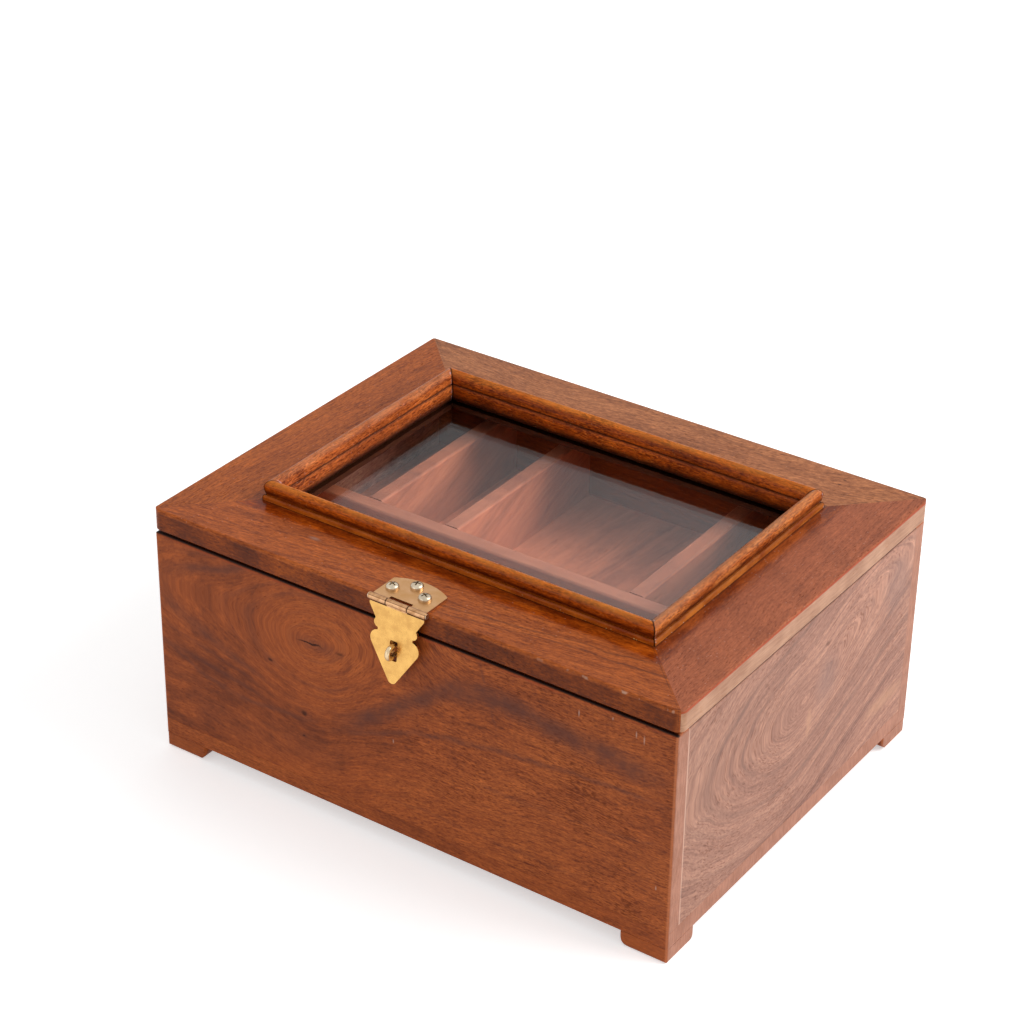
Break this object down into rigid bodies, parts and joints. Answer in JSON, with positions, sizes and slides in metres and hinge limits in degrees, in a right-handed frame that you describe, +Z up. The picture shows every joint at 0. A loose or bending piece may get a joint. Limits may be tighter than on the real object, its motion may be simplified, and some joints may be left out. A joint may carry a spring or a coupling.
{
  "type": "tea bag organizer box",
  "caption": "Low wooden box with a hinged, framed glass-topped lid, divided inside for tea bags, with a brass hasp and staple at the front and short block feet",
  "frame": {"origin": "On the plane the feet stand on, under the middle of the outer bounds at rest (about 2.1 mm in front of the body's own middle, because the staple stands out farther than the hinges)", "axes": "+X to the right along the front, +Y to the back, +Z up"},
  "size_m": [0.255, 0.2104, 0.1263],
  "materials": {
    "body_wood": "stained and satin varnished, reddish brown",
    "lid_wood": "stained and satin varnished, lighter reddish brown",
    "moulding_wood": "glossy varnish, orange brown",
    "inside_wood": "thinly varnished",
    "brass": "polished, slightly worn",
    "steel": "nickel plated",
    "glass": "clear, polished"
  },
  "bodies": {
    "box": {"base_board": "body_wood", "front_panel": "body_wood", "back_panel": "body_wood", "left_panel": "body_wood", "right_panel": "body_wood", "foot_front_left": "body_wood", "foot_front_right": "body_wood", "foot_back_left": "body_wood", "foot_back_right": "body_wood", "compartment_floor": "inside_wood", "long_divider": "inside_wood", "cross_divider_left": "inside_wood", "cross_divider_middle": "inside_wood", "cross_divider_right": "inside_wood", "staple_plate": "brass", "staple_loop": "brass", "hinge_body_leaf_left": "brass", "hinge_body_leaf_right": "brass", "staple_screws": "steel", "hinge_body_screws": "steel", "hinge_pin_left": "steel", "hinge_pin_right": "steel"},
    "lid": {"lid_front_board": "lid_wood", "lid_back_board": "lid_wood", "lid_left_board": "lid_wood", "lid_right_board": "lid_wood", "glass_strip_front": "lid_wood", "glass_strip_back": "lid_wood", "glass_strip_left": "lid_wood", "glass_strip_right": "lid_wood", "moulding_front": "moulding_wood", "moulding_back": "moulding_wood", "moulding_left": "moulding_wood", "moulding_right": "moulding_wood", "glass_pane": "glass", "hinge_lid_leaf_left": "brass", "hinge_lid_leaf_right": "brass", "hasp_leaf": "brass", "hinge_lid_screws": "steel", "hasp_pin": "steel", "hasp_screws": "steel"},
    "hasp_flap": {"hasp_flap": "brass"}
  },
  "joints": [
    {"name": "lid_hinge", "type": "hinge", "parent": "box", "child": "lid", "pos_m": [0, 0.1025, 0.1075], "axis": [-1, 0, 0], "range_deg": [0, 105]},
    {"name": "flap_hinge", "type": "hinge", "parent": "lid", "child": "hasp_flap", "pos_m": [-0.00035, -0.09725, 0.1179], "axis": [-1, 0, 0], "range_deg": [0, 221]}
  ]
}
